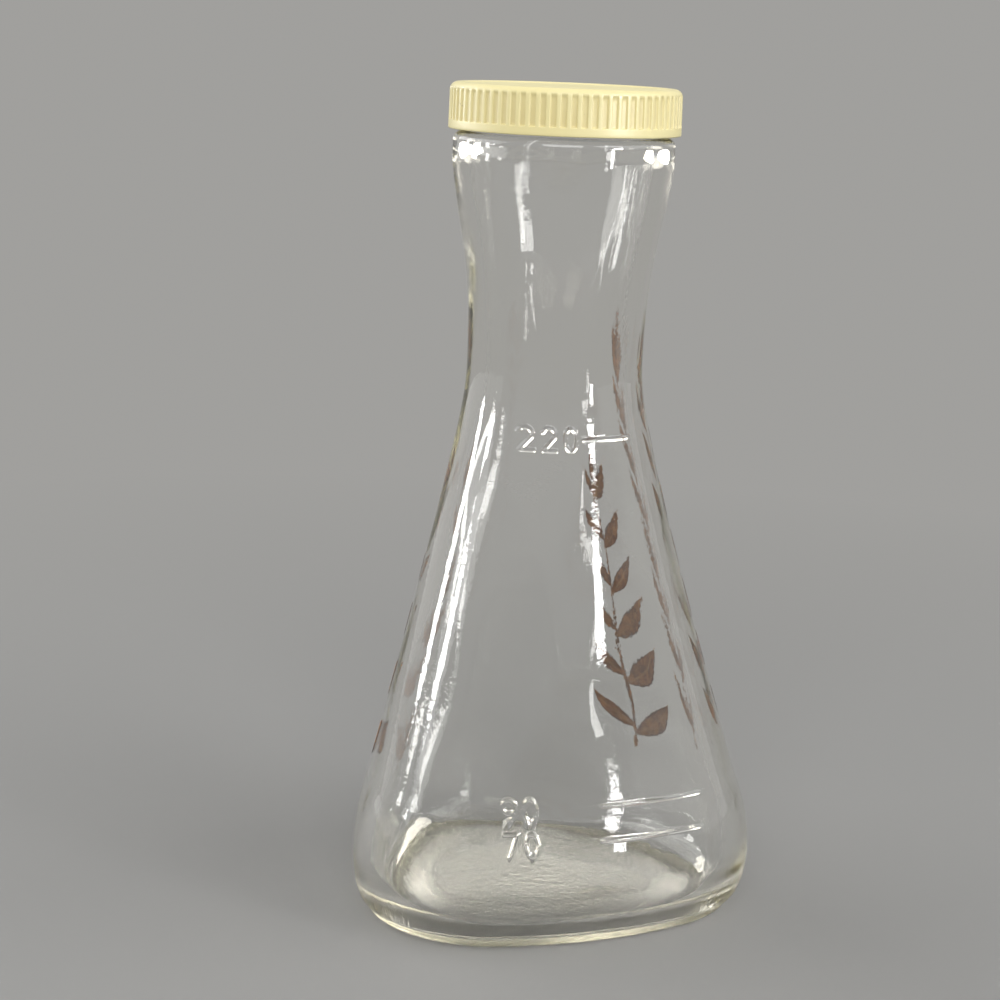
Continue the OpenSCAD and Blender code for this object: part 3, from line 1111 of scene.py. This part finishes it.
def make_lights():
    add_strip("pane_low", 26, 0.95, -0.03, 0.125, 0.05, 26)
    add_strip("pane_middle", 25, 0.95, 0.178, 0.238, 0.06, 26)
    add_strip("pane_high", 32, 0.95, 0.285, 0.42, 0.20, 120)
    add_strip("strip_left", -122, 0.90, 0.145, 0.30, 0.085, 30)
    add_strip("strip_left_near", -102, 0.90, 0.212, 0.27, 0.09, 26)
    add_strip("strip_left_far", -141, 0.90, 0.185, 0.27, 0.055, 120)
    add_light("side_right_low", round_bottle(62, 1.25, 0.085), (1.4, 0.37), 0.4, see_through=False)
    add_light("side_left_low", round_bottle(-130, 1.25, 0.085), (1.9, 0.37), 0.6, see_through=False)
    add_light("side_right", round_bottle(62, 1.25, 0.92), (1.3, 0.8), 2.1)
    add_light("side_left", round_bottle(-130, 1.25, 0.70), (1.9, 0.83), 2.3)
    add_back_light("back_right", 124, 0.50, (0.8, 0.6), 7.8)
    add_back_light("back_left", -170, 0.50, (0.8, 0.6), 7.8)
    add_back_light("back_high", 157, 0.60, (0.7, 0.5), 0.3)
    add_light("front_high", round_bottle(-25, 1.5, 1.0), (1.2, 0.7), 5.6, see_through=False)
    add_light("front_right_high", round_bottle(28, 1.5, 1.1), (0.9, 0.6), 4.2, see_through=False)
    add_light("overhead", Vector((0, 0, 1.5)), (1.2, 1.2), 0.12)


WORLD_COLOUR = (0.97, 0.985, 1.0)
WORLD_STRENGTH = 0.44


def make_world():
    world = bpy.data.worlds.new("studio")
    world.use_nodes = True
    background = world.node_tree.nodes["Background"]
    background.inputs["Color"].default_value = (*WORLD_COLOUR, 1)
    background.inputs["Strength"].default_value = WORLD_STRENGTH
    bpy.context.scene.world = world


def make_camera():
    data = bpy.data.cameras.new("photo_view")
    data.lens = CAMERA_LENS
    data.sensor_width = CAMERA_SENSOR_W
    data.clip_start = 0.01
    camera = bpy.data.objects.new("photo_view", data)
    bpy.context.scene.collection.objects.link(camera)
    yaw, pitch, roll = CAMERA_YAW, CAMERA_PITCH, CAMERA_ROLL
    right = Vector((math.cos(yaw), -math.sin(yaw), 0))
    ahead = Vector((math.sin(yaw), math.cos(yaw), 0))
    down_ahead = ahead * math.cos(pitch) - Vector((0, 0, 1)) * math.sin(pitch)
    up = right.cross(down_ahead)
    over_axis = Vector((0, AXIS_Y, CAMERA_HEIGHT))
    camera.location = -right * CAMERA_ASIDE - ahead * CAMERA_DISTANCE + over_axis
    x = right * math.cos(roll) + up * math.sin(roll)
    y = up * math.cos(roll) - right * math.sin(roll)
    turn = Matrix((x, y, -down_ahead)).transposed()
    camera.rotation_mode = "QUATERNION"
    camera.rotation_quaternion = turn.to_quaternion()
    bpy.context.scene.camera = camera


LIGHT_BOUNCES = 32


def let_light_through_thick_glass():
    """Light crosses the heel and the wall many times before it leaves them."""
    cycles = bpy.context.scene.cycles
    cycles.max_bounces = LIGHT_BOUNCES
    cycles.glossy_bounces = LIGHT_BOUNCES
    cycles.transmission_bounces = LIGHT_BOUNCES


def main():
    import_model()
    bpy.context.scene.view_settings.view_transform = "Standard"
    let_light_through_thick_glass()
    make_camera()
    make_glass()
    make_cap()
    make_liner()
    for name in SPRIGS:
        make_sprig(name)
    make_stage()
    make_lights()
    make_world()


main()
